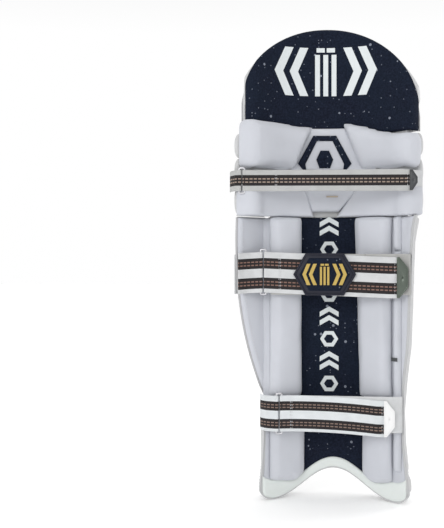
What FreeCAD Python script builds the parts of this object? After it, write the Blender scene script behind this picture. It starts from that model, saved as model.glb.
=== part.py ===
"""Cricket batting leg pad for the left leg, fastened with three hook-and-loop straps.

Millimetres. +Z runs up the shin, +Y points out of the striking face, and the leg and the
straps are on the -Y side, so the outer side of a left leg is -X. The origin lies on the
leg's axis, level with the lowest point of the pad. Every layer of the pad is bent round one
upright line, so plan positions are given as a radius and an angle about it, and the angle
is counted from +Y towards +X.
"""
import FreeCAD, Part
import math
import os

V = FreeCAD.Vector

# ---- overall shape ---------------------------------------------------------------------
PAD_HEIGHT = 700.0
CREST_R = 175.0          # bend radius, measured at the crest of the ribs
CREST_Y = 70.0           # how far the crest stands in front of the leg's axis
AXIS_Y = CREST_Y - CREST_R
GAP = 0.15               # between layers that are sewn together
JOINT_GAP = 1.2          # between parts that flex against each other

# ---- layers, from the striking face inwards ------------------------------------------------
RIB_EDGE_R = 164.5
BACKING_R = (150.0, 160.0)
RIB_BASE_R = BACKING_R[1] + GAP
LINING_R = (147.4, BACKING_R[0] - GAP)
BOLSTER_R = (129.0, LINING_R[0] - GAP)
BINDING_R = (146.4, 176.4)
BINDING_W = 5.0

# ---- heights -----------------------------------------------------------------------------
SHIN_TOP = 417.0
ROLL_SEAMS = (418.0, 463.0, 502.0, 538.0)
ARCH_H = 42.0            # the instep arch, above the lobes beside it
LOBE_X = 88.0            # half the distance between the two lobes
LOBE_R = 20.5            # corner radius outside each lobe
OUTER_EDGE_X = -103.0    # the edge below the wing
INSTEP_TOP = 124.0       # the three middle ribs stop here

# ---- shin --------------------------------------------------------------------------------
SHIN_RIBS = 7
SHIN_PITCH = 10.5        # degrees
SHIN_FIRST = -SHIN_PITCH * SHIN_RIBS / 2
SHIN_INNER = 52.0        # the backing reaches this angle, or the inner edge if that comes first
CANE_R = 4.0
CANE_AT_R = 167.0

# ---- thigh guard above the knee --------------------------------------------------------------
TOP_RIBS = 7
TOP_PITCH = 11.0
TOP_FIRST = -33.0
TOP_CENTRE_X = -5.5
TOP_HALF_W = 131.0
TOP_SHOULDER = 2.08      # how square the rounded top is: 2 would be an ellipse
TOP_LEAN = 5.5           # how far the very top leans outwards, over its springing
TOP_SQUARE = 12.0        # straight sides under the rounded top
TOP_BINDING_W = 6.0

# ---- knee --------------------------------------------------------------------------------
ROLL_ANGLES = (-51.5, 43.5)
ROLL_R = 164.0
ROLL_DEPTH = 28.0
FILLING_WALL = 3.0
CUSHION_R = (129.0, 144.8)
END_FLAP = (0.6, 5.0)    # degrees past a roll's end, where the cushions turn over it
FLEX_Y = 0.0             # the knee's flex lines, at the back ends of the rolls

# ---- wing --------------------------------------------------------------------------------
WING_BEND_R = 300.0      # flatter than the shin
WING_T = 12.0
WING_SEAM = -37.55       # degrees
WING_SEAM_R = 165.0
WING_GROOVE = 0.35       # degrees of its own bend left for the flexing seam
WING_TOP = 415.0
WING_FOOT = 152.0
WING_X = -143.0

# ---- straps: (height of the middle, width, y of the base's front face,
#               ring x, hinge x of the tip, end of the webbing, end of the tab)
STRAPS = {
    "knee": dict(z=466.0, w=31.0, y=-26.5, ring=-131.0, bend=0.0, end=107.0, tab=116.5),
    "calf": dict(z=332.0, w=60.0, y=-9.0, ring=-101.5, bend=48.0, end=90.5, tab=105.0),
    "ankle": dict(z=131.0, w=53.0, y=-9.0, ring=-78.5, bend=0.0, end=72.5, tab=86.5),
}
WEB_T = 2.0
WEB_GAP = 0.3
RING_WIRE_R = 1.5
RING_HALF = 4.0          # from the middle of a ring to each of its bars
SLEEVE_R = (1.58, 3.3)
TIP_GAP = 1.8
TAB_T = 1.8


def plan(r, angle, z=0.0, centre=(0.0, AXIS_Y)):
    """The point at a radius and an angle about the pad's bend line, or about another."""
    a = math.radians(angle)
    return V(centre[0] + r * math.sin(a), centre[1] + r * math.cos(a), z)


def sector(r0, r1, a0, a1, z0, z1, centre=(0.0, AXIS_Y)):
    """An upright piece of a round wall."""
    def at(r, angle):
        return plan(r, angle, z0, centre)

    mid = (a0 + a1) / 2
    edges = [
        Part.Arc(at(r0, a0), at(r0, mid), at(r0, a1)).toShape(),
        Part.LineSegment(at(r0, a1), at(r1, a1)).toShape(),
        Part.Arc(at(r1, a1), at(r1, mid), at(r1, a0)).toShape(),
        Part.LineSegment(at(r1, a0), at(r0, a0)).toShape(),
    ]
    return Part.Face(Part.Wire(edges)).extrude(V(0, 0, z1 - z0))


def spline(points):
    curve = Part.BSplineCurve()
    curve.interpolate([V(x, 0, z) for x, z in points])
    return curve.toShape()


def line(a, b):
    return Part.LineSegment(V(a[0], 0, a[1]), V(b[0], 0, b[1])).toShape()


def through(edges):
    """The space seen through an outline in the XZ plane, from behind the pad to before it."""
    face = Part.Face(Part.Wire(Part.__sortEdges__(edges)))
    face.translate(V(0, -80, 0))
    return face.extrude(V(0, 200, 0))


def polygon(points):
    closed = points + [points[0]]
    return through([line(a, b) for a, b in zip(closed, closed[1:])])


def inset(points, by):
    """The same row of points, moved to its left by a distance."""
    moved = []
    for i, (x, z) in enumerate(points):
        x0, z0 = points[max(i - 1, 0)]
        x1, z1 = points[min(i + 1, len(points) - 1)]
        length = math.hypot(x1 - x0, z1 - z0)
        moved.append((x - (z1 - z0) / length * by, z + (x1 - x0) / length * by))
    return moved


def band(points, thickness, z0, z1):
    """A flat strap on edge: a row of plan points, thickened to its left."""
    other = inset(points, thickness)
    ring = points + other[::-1] + [points[0]]
    edges = [Part.LineSegment(V(*a, z0), V(*b, z0)).toShape() for a, b in zip(ring, ring[1:])]
    return Part.Face(Part.Wire(edges)).extrude(V(0, 0, z1 - z0))


def post(x, y, r, z0, z1):
    return Part.makeCylinder(r, z1 - z0, V(x, y, z0))


def joined(first, *others):
    return first.fuse(list(others)).removeSplitter()


# ---- outlines --------------------------------------------------------------------------------
def sole(x):
    """The height of the pad's lower edge: an arch over the shoe between two lobes."""
    if abs(x) < LOBE_X:
        return ARCH_H * math.cos(math.pi * x / 2 / LOBE_X) ** 2
    return LOBE_R - math.sqrt(max(0.0, LOBE_R ** 2 - (abs(x) - LOBE_X) ** 2))


def shin_outline(by=0.0):
    outer, inner = -LOBE_X - LOBE_R, LOBE_X + LOBE_R
    xs = [outer, outer + 2, outer + 8, -94, -84, -68, -50, -34, -17, 0]
    xs += [17, 34, 50, 68, 84, 94, inner - 8, inner - 2, inner]
    bottom = inset([(x, sole(x)) for x in xs], by)
    side = OUTER_EDGE_X
    up_outer = inset([(side - 4, SHIN_TOP + 9), (side - 4, 240), (side - 1.5, 150), (side, 100),
                      (outer, LOBE_R)], by)
    up_inner = inset([(inner, LOBE_R), (104.0, 55), (99.8, 95), (98.9, 140), (101.5, 185), (107.0, 228),
                      (109.0, 275), (111.5, 340), (115.5, 395), (119.5, SHIN_TOP + 9)], by)
    up_outer[-1] = bottom[0]
    up_inner[0] = bottom[-1]
    return through([spline(up_outer), spline(bottom), spline(up_inner),
                    line(up_inner[-1], up_outer[0])])


def over_sole(by):
    """Everything that lies more than a distance above the lower edge, for the cushions."""
    xs = [-99, -90, -82, -66, -50, -34, -17, 0, 17, 34, 50, 66, 82, 90, 99]
    edge = [(x, sole(x) + by) for x in xs]
    corners = [(edge[-1][0], SHIN_TOP), (edge[0][0], SHIN_TOP)]
    return through([spline(edge), line(edge[-1], corners[0]), line(*corners),
                    line(corners[1], edge[0])])


def top_outline(by=0.0):
    """The rounded top: half a squarish oval on short straight sides."""
    z0 = ROLL_SEAMS[3] + JOINT_GAP
    spring = ROLL_SEAMS[3] + TOP_SQUARE
    half, rise = TOP_HALF_W - by, PAD_HEIGHT - spring - by
    arc = []
    for k in range(25):
        turn = math.pi * k / 24
        across, up = math.cos(turn), max(math.sin(turn), 0.0)
        x = math.copysign(abs(across) ** (2 / TOP_SHOULDER), across)
        z = up ** (2 / TOP_SHOULDER)
        arc.append((TOP_CENTRE_X - TOP_LEAN * z + half * x, spring + rise * z))
    feet = [(arc[-1][0], z0), (arc[0][0], z0)]
    return through([spline(arc), line(arc[-1], feet[0]), line(*feet), line(feet[1], arc[0])])


def wing_outline(by=0.0):
    edge = [(WING_X, WING_TOP), (WING_X - 0.5, 370), (WING_X + 3, 300), (-130, 235),
            (-115, 178), (-105, WING_FOOT)]
    edge = inset(edge, by)
    edge[0] = (edge[0][0], WING_TOP)
    corners = [(-60, WING_FOOT), (-60, WING_TOP)]
    return through([spline(edge), line(edge[-1], corners[0]), line(*corners),
                    line(corners[1], edge[0])])


# ---- ribs and canes --------------------------------------------------------------------------
def rib(a0, a1, z0, z1):
    """One stuffed channel, with the hole that its cane runs in."""
    side, mid = 0.25, (a0 + a1) / 2
    a0, a1 = a0 + side, a1 - side
    edges = [
        Part.Arc(plan(RIB_BASE_R, a0, z0), plan(RIB_BASE_R, mid, z0), plan(RIB_BASE_R, a1, z0)),
        Part.LineSegment(plan(RIB_BASE_R, a1, z0), plan(RIB_EDGE_R, a1, z0)),
        Part.Arc(plan(RIB_EDGE_R, a1, z0), plan(CREST_R, mid, z0), plan(RIB_EDGE_R, a0, z0)),
        Part.LineSegment(plan(RIB_EDGE_R, a0, z0), plan(RIB_BASE_R, a0, z0)),
    ]
    solid = Part.Face(Part.Wire([e.toShape() for e in edges])).extrude(V(0, 0, z1 - z0))
    hole = plan(CANE_AT_R, mid)
    return solid.cut(post(hole.x, hole.y, CANE_R + GAP, z0 - 1, z1 + 1))


def cane(angle, z0, z1):
    at = plan(CANE_AT_R, angle)
    return post(at.x, at.y, CANE_R, z0, z1)


def shin_front():
    """Seven ribs, of which the middle three stop above the instep panel."""
    made, canes, inside = {}, [], shin_outline(BINDING_W + GAP)
    for i in range(SHIN_RIBS):
        a0 = SHIN_FIRST + i * SHIN_PITCH
        middle = 2 <= i <= 4
        z0 = INSTEP_TOP + GAP if middle else -5.0
        made[f"shin_rib_{i + 1}"] = rib(a0, a0 + SHIN_PITCH, z0, SHIN_TOP).common(inside)
        canes.append(cane(a0 + SHIN_PITCH / 2, INSTEP_TOP + 12 if middle else 52, SHIN_TOP - 12))
    made["shin_canes"] = Part.makeCompound(canes)
    return made


def top_front():
    made, canes, inside = {}, [], top_outline(TOP_BINDING_W + GAP)
    z0 = ROLL_SEAMS[3] + JOINT_GAP
    for i in range(TOP_RIBS):
        a0 = TOP_FIRST + i * TOP_PITCH
        made[f"top_rib_{i + 1}"] = rib(a0, a0 + TOP_PITCH, z0, PAD_HEIGHT).common(inside)
        x = plan(CANE_AT_R, a0 + TOP_PITCH / 2).x - TOP_CENTRE_X
        rise = PAD_HEIGHT - z0 - TOP_SQUARE
        out = min(abs(x) / (TOP_HALF_W - 8), 1.0)
        reach = rise * (1 - out ** TOP_SHOULDER) ** (1 / TOP_SHOULDER)
        canes.append(cane(a0 + TOP_PITCH / 2, z0 + 9, z0 + TOP_SQUARE + max(reach - 18, 12)))
    made["top_canes"] = Part.makeCompound(canes)
    side = sector(RIB_BASE_R, RIB_EDGE_R + 3.5, -50.5, TOP_FIRST - 0.2, z0, PAD_HEIGHT)
    made["top_side_panel"] = side.common(inside)
    return made


# ---- sheets ----------------------------------------------------------------------------------
def shin_layer(radii):
    """A sheet over the whole shin, reaching farther round below the wing's foot."""
    upper = sector(*radii, SHIN_FIRST, SHIN_INNER, -5, SHIN_TOP)
    lower = sector(*radii, SHIN_FIRST - 5, SHIN_INNER, -5, WING_FOOT - 3)
    return joined(upper, lower).common(shin_outline(BINDING_W + GAP))


def shin_sheets():
    inside, whole = shin_outline(BINDING_W + GAP), shin_outline()
    a0, a1 = SHIN_FIRST, SHIN_INNER
    band_wall = sector(*BINDING_R, a0 - 7, a1 + 1, -5, SHIN_TOP)
    panel = sector(RIB_BASE_R, RIB_EDGE_R, -1.5 * SHIN_PITCH + 0.25, 1.5 * SHIN_PITCH - 0.25,
                   -5, INSTEP_TOP)
    binding = band_wall.common(whole).cut(shin_outline(BINDING_W))
    # Above the wing's foot the outer edge is the seam to the wing, which has no binding.
    binding = binding.cut(Part.makeBox(60, 300, 400, V(-140, -120, WING_FOOT - 6)))
    return {
        "shin_backing": shin_layer(BACKING_R),
        "shin_lining": shin_layer(LINING_R),
        "shin_binding": binding,
        "instep_panel": panel.common(inside),
    }


def hexagon(x, z, half_w, half_h, flat):
    """A six-sided outline. flat is half the width of its two level sides, or half the
    height of its two upright sides if it is negative."""
    if flat > 0:
        points = [(-half_w, 0), (-flat, half_h), (flat, half_h), (half_w, 0),
                  (flat, -half_h), (-flat, -half_h)]
    else:
        points = [(0, half_h), (half_w, -flat), (half_w, flat), (0, -half_h),
                  (-half_w, flat), (-half_w, -flat)]
    return polygon([(x + px, z + pz) for px, pz in points])


def instep_badge():
    outline = hexagon(0.0, 80.0, 31.0, 24.0, -15.0)
    r0 = RIB_EDGE_R + GAP
    return sector(r0, r0 + 2.4, -14, 14, 40, 120).common(outline)


def top_sheets():
    whole, inside = top_outline(), top_outline(TOP_BINDING_W + GAP)
    z0 = ROLL_SEAMS[3] + JOINT_GAP
    a0, a1 = -51.0, 46.0
    binding = sector(*BINDING_R, a0 - 1, a1 + 1, z0, PAD_HEIGHT + 1).common(whole)
    # The binding runs round the sides and the top, and stops at the flexing seam.
    binding = binding.cut(top_outline(TOP_BINDING_W)).cut(
        polygon([(TOP_CENTRE_X - TOP_HALF_W + TOP_BINDING_W, z0 - 5),
                 (TOP_CENTRE_X + TOP_HALF_W - TOP_BINDING_W, z0 - 5),
                 (TOP_CENTRE_X + TOP_HALF_W - TOP_BINDING_W, z0 + 8),
                 (TOP_CENTRE_X - TOP_HALF_W + TOP_BINDING_W, z0 + 8)]))
    return {
        "top_backing": sector(*BACKING_R, a0, a1, z0, PAD_HEIGHT).common(inside),
        "top_lining": sector(*LINING_R, a0, a1, z0, PAD_HEIGHT).common(inside),
        "top_binding": binding,
    }


# ---- wing ------------------------------------------------------------------------------------
def wing():
    """The side wing, which is flatter than the shin and leaves it along a tangent."""
    back = WING_BEND_R - WING_SEAM_R
    seam = math.radians(WING_SEAM)
    centre = (-back * math.sin(seam), AXIS_Y - back * math.cos(seam))
    r0, r1 = WING_BEND_R - WING_T / 2, WING_BEND_R + WING_T / 2
    inner, outer = WING_SEAM - WING_GROOVE, -52.0
    pad = sector(r0, r1, outer, inner, WING_FOOT, WING_TOP, centre)
    rim = sector(r0 - 1, r1 + 1, outer - 2, inner, WING_FOOT - 12, WING_TOP, centre)
    calf = STRAPS["calf"]
    tag = band([(-132.6, 9.6), (-144.3, -2.5)], 1.2, calf["z"] - 29, calf["z"] + 29)
    return {
        "wing_pad": pad.common(wing_outline(BINDING_W + GAP)),
        "wing_binding": rim.common(wing_outline()).cut(wing_outline(BINDING_W)),
        "size_tag": tag,
    }


# ---- knee rolls and cushions -------------------------------------------------------------------
def tube(z0, z1, shrink):
    """A stuffed roll bent round the knee, with an oval section."""
    half_z, half_r = (z1 - z0 - JOINT_GAP) / 2 - shrink, ROLL_DEPTH / 2 - shrink
    mid, start = (z0 + z1) / 2, ROLL_ANGLES[0] + shrink
    centre = plan(ROLL_R, start, mid)
    radial = plan(1, start) - plan(0, start)
    tall = half_z > half_r
    high, deep = centre + V(0, 0, half_z), centre + radial * half_r
    oval = Part.Ellipse(high, deep, centre) if tall else Part.Ellipse(deep, high, centre)
    face = Part.Face(Part.Wire(oval.toShape()))
    turn = -(ROLL_ANGLES[1] - ROLL_ANGLES[0] - 2 * shrink)
    return face.revolve(V(0, AXIS_Y, 0), V(0, 0, 1), turn)


def knee_rolls():
    made = {}
    for i, name in enumerate(("lower", "middle", "upper")):
        outer = tube(ROLL_SEAMS[i], ROLL_SEAMS[i + 1], 0.0)
        made[f"knee_roll_{name}"] = outer.cut(tube(ROLL_SEAMS[i], ROLL_SEAMS[i + 1], FILLING_WALL))
        made[f"knee_roll_{name}_filling"] = tube(ROLL_SEAMS[i], ROLL_SEAMS[i + 1], FILLING_WALL + GAP)
    return made


def knee_wrap(r0, z0, z1, flap_z0, flap_z1):
    """A cushion across the back of the rolls that turns over both of their ends."""
    a0, a1 = ROLL_ANGLES
    near, far = END_FLAP
    r1 = CUSHION_R[1]
    across = sector(r0, r1, a0 - near, a1 + near, z0, z1)
    flaps = [sector(r1 - 2, ROLL_R + ROLL_DEPTH / 2 - 1, a, b, flap_z0, flap_z1)
             for a, b in ((a0 - far, a0 - near), (a1 + near, a1 + far))]
    corners = [sector(r1 - 2, r1, a, b, flap_z0, flap_z1)
               for a, b in ((a0 - far, a0), (a1, a1 + far))]
    return joined(across, *flaps, *corners)


def knee_cushions():
    low, seam = 484.0, ROLL_SEAMS[3] - 1
    outer = polygon([(-200, low), (-60, low), (-28, 552), (-110, 556), (-200, 556)])
    inner = polygon([(200, low), (42, low), (11, 555), (110, 536), (200, 536)])
    patch = polygon([(-58, low), (-26.5, 550), (9.5, 550), (40, low)])
    wide = knee_wrap(CUSHION_R[0], low, 557.0, ROLL_SEAMS[2] + 1, seam)
    return {
        "knee_cushion_outer": wide.common(outer),
        "knee_cushion_inner": wide.common(inner),
        "knee_patch": sector(CUSHION_R[1] - 7, CUSHION_R[1], -30, 20, low, 551).common(patch),
        "knee_cushion_lower": knee_wrap(137.0, 418.8, 461.0, 418.8, 461.0),
    }


# ---- shin cushions ---------------------------------------------------------------------------
def shin_cushions():
    top, inside = 411.0, over_sole(14.0)
    return {
        "bolster_outer": sector(*BOLSTER_R, -41.0, -20.1, -5, top).common(inside),
        "bolster_inner": sector(*BOLSTER_R, 14.0, 36.0, -5, top).common(inside),
        "side_guard": sector(138.0, BOLSTER_R[1], 36.6, 41.3, 45, top).common(
            shin_outline(BINDING_W + GAP)),
    }


# ---- straps ----------------------------------------------------------------------------------
def strap_ring(s):
    """A rectangular loop of wire that both the anchor and the strap fold round."""
    y = s["y"] - WEB_T - WEB_GAP / 2
    half = s["w"] / 2 + 2.5
    bars = [post(s["ring"] + side * RING_HALF, y, RING_WIRE_R, s["z"] - half, s["z"] + half)
            for side in (-1, 1)]
    for end in (-1, 1):
        z = s["z"] + end * (half - RING_WIRE_R * 0)
        bars.append(Part.makeCylinder(RING_WIRE_R, 2 * RING_HALF,
                                      V(s["ring"] - RING_HALF, y, z), V(1, 0, 0)))
        bars += [Part.makeSphere(RING_WIRE_R, V(s["ring"] + side * RING_HALF, y, z))
                 for side in (-1, 1)]
    return joined(*bars)


def sleeve(x, y, z0, z1):
    return post(x, y, SLEEVE_R[1], z0, z1)


def strap_parts(name, s, base_end, anchor_way):
    """The webbing of one strap: base, run, tip and tab, and the anchor that holds its ring."""
    z0, z1 = s["z"] - s["w"] / 2, s["z"] + s["w"] / 2
    y = s["y"] - WEB_T - WEB_GAP / 2
    near, far = s["ring"] + RING_HALF, s["ring"] - RING_HALF
    run_y = s["y"] - WEB_T - WEB_GAP
    start = near + SLEEVE_R[1] + 1.0

    base = band([(start, s["y"]), *base_end][::-1], WEB_T, z0, z1)
    run = Part.makeBox(s["bend"] - TIP_GAP / 2 - near, WEB_T, s["w"], V(near, run_y - WEB_T, z0))
    run = joined(run, sleeve(near, y, z0, z1)).cut(post(near, y, SLEEVE_R[0], z0 - 1, z1 + 1))
    tip_x = s["bend"] + TIP_GAP / 2
    tip = Part.makeBox(s["end"] - tip_x, WEB_T, s["w"], V(tip_x, run_y - WEB_T, z0))
    anchor = band([(far, y + WEB_T / 2), *anchor_way], -WEB_T, z0, z1)
    anchor = joined(anchor, sleeve(far, y, z0, z1)).cut(post(far, y, SLEEVE_R[0], z0 - 1, z1 + 1))
    end, tab = s["end"] + GAP, s["tab"]
    nose = s["w"] * 0.22
    outline = polygon([(end, z0), (end + 2, z0), (tab, s["z"] - nose), (tab, s["z"] + nose),
                       (end + 2, z1), (end, z1)])
    pull = Part.makeBox(tab - end + 1, TAB_T, s["w"], V(end, run_y - WEB_T + 0.1, z0)).common(outline)
    return {
        f"{name}_strap_ring": strap_ring(s),
        f"{name}_strap_base": base,
        f"{name}_strap_run": run,
        f"{name}_strap_tip": tip,
        f"{name}_strap_anchor": anchor,
        f"{name}_strap_tab": pull,
    }


def straps():
    made = {}
    knee_y, low_y = STRAPS["knee"]["y"], STRAPS["calf"]["y"]
    made.update(strap_parts("knee", STRAPS["knee"], [(96.0, knee_y), (111.8, -11.2), (126.0, 1.5)],
                            [(-140.5, knee_y - 1), (-148.5, -15.5), (-150.5, -6.0)]))
    calf_edge = [(86.0, low_y), (95.0, -6.5), (103.0, -7.0), (109.0, -11.0)]
    ankle_edge = [(82.0, low_y), (90.0, -6.5), (98.0, -5.5)]
    wing_way = [(-117.0, low_y - 2.5), (-127.0, -15.0), (-137.0, -24.5)]
    made.update(strap_parts("calf", STRAPS["calf"], calf_edge, wing_way))
    ankle_way = [(-96.0, low_y - 1.0), (-105.5, 0.0), (-107.5, 10.0)]
    made.update(strap_parts("ankle", STRAPS["ankle"], ankle_edge, ankle_way))
    return made


def calf_badge():
    s = STRAPS["calf"]
    y = s["y"] - 2 * WEB_T - WEB_GAP - 0.15
    outline = hexagon(-16.0, s["z"], 42.0, 30.5, 26.5)
    return Part.makeBox(90, 5.0, 70, V(-61, y - 5.0, s["z"] - 35)).common(outline)


def main():
    os.makedirs("parts", exist_ok=True)
    made = {}
    made.update(shin_front())
    made.update(shin_sheets())
    made.update(shin_cushions())
    made["instep_badge"] = instep_badge()
    made.update(wing())
    made.update(knee_rolls())
    made.update(knee_cushions())
    made.update(top_front())
    made.update(top_sheets())
    made.update(straps())
    made["calf_badge"] = calf_badge()
    for name, shape in made.items():
        solids = shape.Solids
        if not solids or not shape.isValid():
            raise SystemExit(f"{name} isn't a valid solid: {len(solids)}")
        kept = solids[0] if len(solids) == 1 else Part.makeCompound(solids)
        kept.exportStep(f"parts/{name}.step")
        box = kept.BoundBox
        print(f"{name:26s} {len(solids)} {kept.Volume:9.0f}  x {box.XMin:7.1f} {box.XMax:7.1f}"
              f"  y {box.YMin:6.1f} {box.YMax:6.1f}  z {box.ZMin:6.1f} {box.ZMax:6.1f}")


main()
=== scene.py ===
"""Looks for a left-leg cricket batting pad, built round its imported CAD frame.

Metres, in the part's own frame: +Z up the shin, +Y out of the striking face, -Y towards the
leg and its straps. The pad is bent round an upright line, so plan places are a radius and an
angle about it, counted in degrees from +Y towards +X.
"""
from math import asin, atan, copysign, cos, degrees, exp, pi, radians, sin, sqrt

import bmesh
import bpy
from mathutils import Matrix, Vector, noise


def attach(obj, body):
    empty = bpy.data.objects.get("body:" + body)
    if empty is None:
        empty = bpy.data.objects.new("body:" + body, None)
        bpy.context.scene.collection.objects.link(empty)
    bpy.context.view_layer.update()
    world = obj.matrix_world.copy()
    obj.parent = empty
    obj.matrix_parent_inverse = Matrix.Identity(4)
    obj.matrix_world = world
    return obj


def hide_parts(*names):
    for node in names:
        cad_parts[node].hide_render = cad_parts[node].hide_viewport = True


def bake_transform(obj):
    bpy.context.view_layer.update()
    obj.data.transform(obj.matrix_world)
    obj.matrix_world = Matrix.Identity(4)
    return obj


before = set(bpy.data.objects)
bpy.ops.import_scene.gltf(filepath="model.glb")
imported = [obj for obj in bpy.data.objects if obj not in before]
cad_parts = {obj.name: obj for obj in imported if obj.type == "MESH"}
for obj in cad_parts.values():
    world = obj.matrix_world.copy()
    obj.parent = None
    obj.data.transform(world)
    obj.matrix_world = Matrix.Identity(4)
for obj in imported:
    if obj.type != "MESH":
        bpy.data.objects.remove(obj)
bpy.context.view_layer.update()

# ---- dimensions, mostly shared with the CAD ----------------------------------------------------
CENTRE = (0.0, -0.105)
LINING_R, BACKING_R, RIB_R = 0.1474, 0.1497, 0.1602
SHIN_WALL_R, TOP_WALL_R = (0.1464, 0.1700), (0.1500, 0.1722)
SEAMS = (0.418, 0.463, 0.502, 0.538)
SHIN_TOP, SHIN_RIB_TOP = 0.417, 0.4165
SHIN_FIRST, SHIN_PITCH = -36.75, 10.5
TOP_FIRST, TOP_PITCH = -33.0, 11.0
TOP_CENTRE, TOP_HALF, TOP_SPRING, TOP_Z = -0.0055, 0.131, 0.550, 0.700
TOP_SHOULDER, TOP_LEAN = 2.08, 0.0055
TOP_ENDS, TOP_FOOT = (-51.0, 46.0), 0.5388
OVERLAP = 0.22
ROLL_ANGLES = (-51.5, 43.5)
ROLL_R, ROLL_HALF, ROLL_LIP = 0.164, 0.014, 4.5
CUSHION_R = 0.1448
ARCH_H, LOBE_X, LOBE_R = 0.042, 0.088, 0.0205
WING_SEAM, WING_SEAM_R, WING_BEND_R = -37.55, 0.165, 0.300
WING_BACK = WING_BEND_R - WING_SEAM_R
WING_CENTRE = (-WING_BACK * sin(radians(WING_SEAM)),
               CENTRE[1] - WING_BACK * cos(radians(WING_SEAM)))
STRAPS = {
    "knee": dict(z=0.466, w=0.031, y=-0.0265, ring=-0.131, bend=0.0, end=0.107, tab=0.1165),
    "calf": dict(z=0.332, w=0.060, y=-0.009, ring=-0.1015, bend=0.048, end=0.0905, tab=0.105),
    "ankle": dict(z=0.131, w=0.053, y=-0.009, ring=-0.0785, bend=0.0, end=0.0725, tab=0.0865),
}
WEB_T, WEB_GAP = 0.002, 0.0003

# The radii of the surfaces that marks and badges lie on.
INSTEP_FACE_R, THIGH_LINING_R, SHIN_LINING_R, PATCH_R = 0.1651, 0.1454, 0.1469, 0.1386

# The shin's two edges as rows of (x, height), from the knee down and from the foot up.
INNER_EDGE = [(0.1185, 0.4165), (0.1150, 0.395), (0.1120, 0.340), (0.1103, 0.275), (0.1085, 0.228),
              (0.1040, 0.185), (0.1010, 0.140), (0.1020, 0.095), (0.1058, 0.055)]
OUTER_EDGE = [(-0.1050, 0.06), (-0.1030, 0.10), (-0.1035, 0.144)]
WING_EDGE = [(-0.1430, 0.415), (-0.1435, 0.370), (-0.1400, 0.300), (-0.1300, 0.235),
             (-0.1150, 0.178), (-0.1050, 0.152)]


# ---- places ------------------------------------------------------------------------------------
def plan(r, angle, z=0.0, centre=CENTRE):
    a = radians(angle)
    return Vector((centre[0] + r * sin(a), centre[1] + r * cos(a), z))


def plans(places):
    """Plan points from rows of (radius, angle)."""
    return [plan(r, angle).xy for r, angle in places]


def on_wall(r, x, z, ends=(-60.0, 60.0)):
    """The point at a radius that is seen at x from straight in front, kept between two angles."""
    x = min(max(x, r * sin(radians(ends[0]))), r * sin(radians(ends[1])))
    return Vector((x, CENTRE[1] + sqrt(r * r - x * x), z))


def on_wing(r, x, z):
    return Vector((x, WING_CENTRE[1] + sqrt(r ** 2 - (x - WING_CENTRE[0]) ** 2), z))


def angle_to(x, r):
    """The angle at which a round wall of radius r is seen at x from straight in front."""
    return degrees(asin(x / r))


def mix(a, b, t):
    return a + (b - a) * t


def slant(a, b):
    """A side that goes from a at the low end to b at the high end."""
    return lambda v: mix(a, b, v)


def value(item, at):
    return item(at) if callable(item) else item


def fillet(distance, radius):
    t = min(max(distance / radius, 0.0), 1.0)
    return sqrt(1 - (1 - t) ** 2)


def bump(x, at, width):
    return exp(-((x - at) / width) ** 2)


def step(x, low, high):
    t = min(max((x - low) / (high - low), 0.0), 1.0)
    return t * t * (3 - 2 * t)


def smooth_path(points, spacing):
    """Evenly spaced points on a smooth curve through some points of any dimension."""
    pts = [Vector(p) for p in points]
    pts = [2 * pts[0] - pts[1]] + pts + [2 * pts[-1] - pts[-2]]
    fine, parts = [], 16
    for p0, p1, p2, p3 in zip(pts, pts[1:], pts[2:], pts[3:]):
        for i in range(parts):
            t = i / parts
            fine.append(0.5 * (2 * p1 + (p2 - p0) * t + (2 * p0 - 5 * p1 + 4 * p2 - p3) * t * t
                               + (3 * p1 - p0 - 3 * p2 + p3) * t ** 3))
    fine.append(pts[-2])
    lengths = [0.0]
    for a, b in zip(fine, fine[1:]):
        lengths.append(lengths[-1] + (b - a).length)
    count = max(2, round(lengths[-1] / spacing))
    found, k = [], 0
    for i in range(count + 1):
        s = lengths[-1] * i / count
        while k < len(fine) - 2 and lengths[k + 1] < s:
            k += 1
        part = (s - lengths[k]) / max(lengths[k + 1] - lengths[k], 1e-9)
        found.append(fine[k].lerp(fine[k + 1], min(part, 1.0)))
    return found


def left_of(points, i, ahead=1):
    """The level direction to the left of a path at its point i."""
    along = (points[min(i + ahead, len(points) - 1)] - points[max(i - 1, 0)]).normalized()
    return Vector((-along.y, along.x))


def sole(x):
    """The height of the shin's lower edge at x: an arch between two rounded lobes."""
    if abs(x) < LOBE_X:
        return ARCH_H * cos(pi * x / 2 / LOBE_X) ** 2
    return LOBE_R - sqrt(max(0.0, LOBE_R ** 2 - (abs(x) - LOBE_X) ** 2))


def hem_top(x):
    return sole(x) + 0.0165 + 0.0130 * step(abs(x), 0.055, 0.085)


def above_sole(height):
    return lambda x: sole(x) + height


def dome_point(turn):
    """A point of the rounded top's edge, turning from its right foot to its left one."""
    across, up = cos(turn), max(sin(turn), 0.0)
    x = copysign(abs(across) ** (2 / TOP_SHOULDER), across)
    z = up ** (2 / TOP_SHOULDER)
    return TOP_CENTRE - TOP_LEAN * z + TOP_HALF * x, TOP_SPRING + (TOP_Z - TOP_SPRING) * z


DOME = [dome_point(pi * k / 400) for k in range(401)]


def dome(x):
    """The height of the rounded top's edge at x."""
    for (x0, z0), (x1, z1) in zip(DOME, DOME[1:]):
        if x1 <= x <= x0:
            return mix(z0, z1, (x0 - x) / max(x0 - x1, 1e-9))
    return TOP_SPRING


def rib_dome(x):
    return dome(x) - 0.0010


def inner_edge_angle(z, r, inset):
    """The angle of the shin's inner edge at a height, a distance in from it."""
    rows = [(0.1080, 0.02), *INNER_EDGE[::-1]]
    for (x0, z0), (x1, z1) in zip(rows, rows[1:]):
        if z <= z1:
            break
    x = mix(x0, x1, min(max((z - z0) / (z1 - z0), 0.0), 1.0))
    return angle_to(x - inset, r)


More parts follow.
